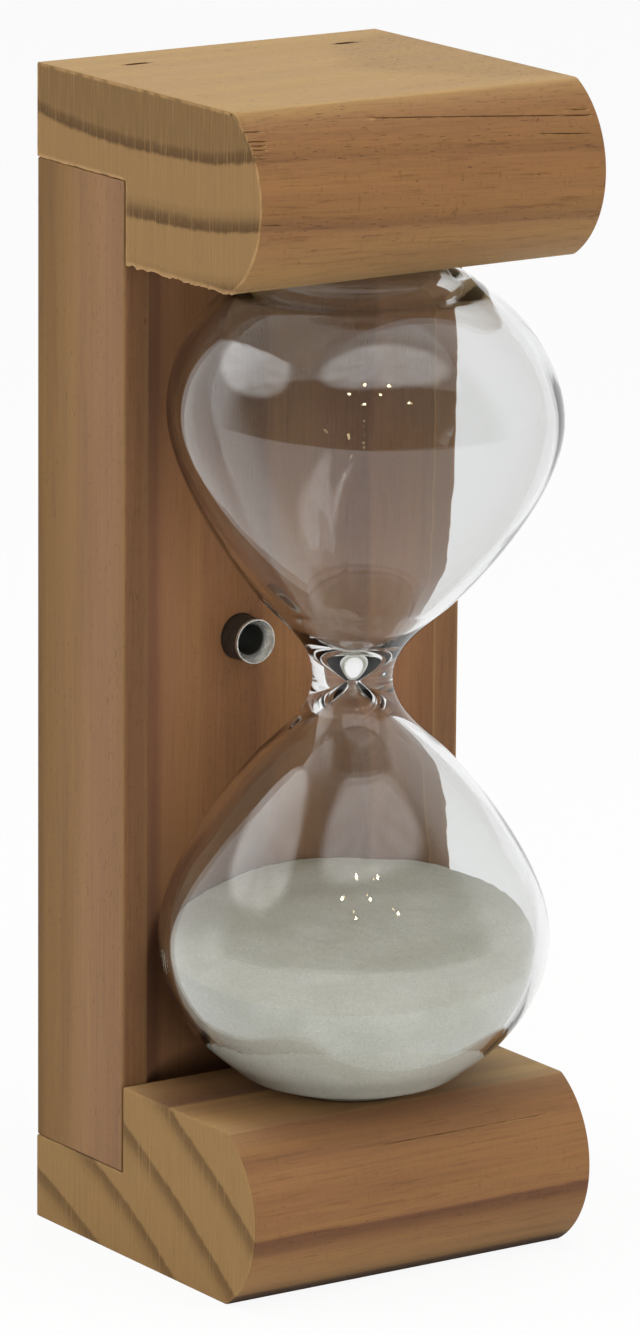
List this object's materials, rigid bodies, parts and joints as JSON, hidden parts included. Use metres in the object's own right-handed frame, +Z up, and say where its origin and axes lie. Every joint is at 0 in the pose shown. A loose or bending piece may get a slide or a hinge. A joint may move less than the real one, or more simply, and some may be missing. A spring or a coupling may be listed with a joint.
{
  "type": "sauna hourglass",
  "caption": "Wooden sauna hourglass: a blown sand glass held between rounded cross blocks on a coved board that turns over on a metal pivot sleeve.",
  "frame": {"origin": "middle of the base block's underside", "axes": "+Z up along the glass, -Y to the front, +X to the right seen from the front"},
  "size_m": [0.0528, 0.0602, 0.155],
  "materials": {
    "board_wood": "matte",
    "block_wood": "matte",
    "glass": "polished",
    "sand": "matte",
    "sleeve_metal": "polished",
    "nail_steel": "satin"
  },
  "bodies": {
    "pivot": {"pivot_sleeve": "sleeve_metal"},
    "frame": {"back_board": "board_wood", "top_block": "block_wood", "base_block": "block_wood", "glass_vial": "glass", "glass_seal": "glass", "sand": "sand", "top_nail_left": "nail_steel", "top_nail_right": "nail_steel", "base_nail_left": "nail_steel", "base_nail_right": "nail_steel"}
  },
  "joints": [
    {"name": "frame_turn", "type": "hinge", "parent": "pivot", "child": "frame", "pos_m": [0, 0.0221, 0.0775], "axis": [0, 1, 0], "continuous": true}
  ]
}
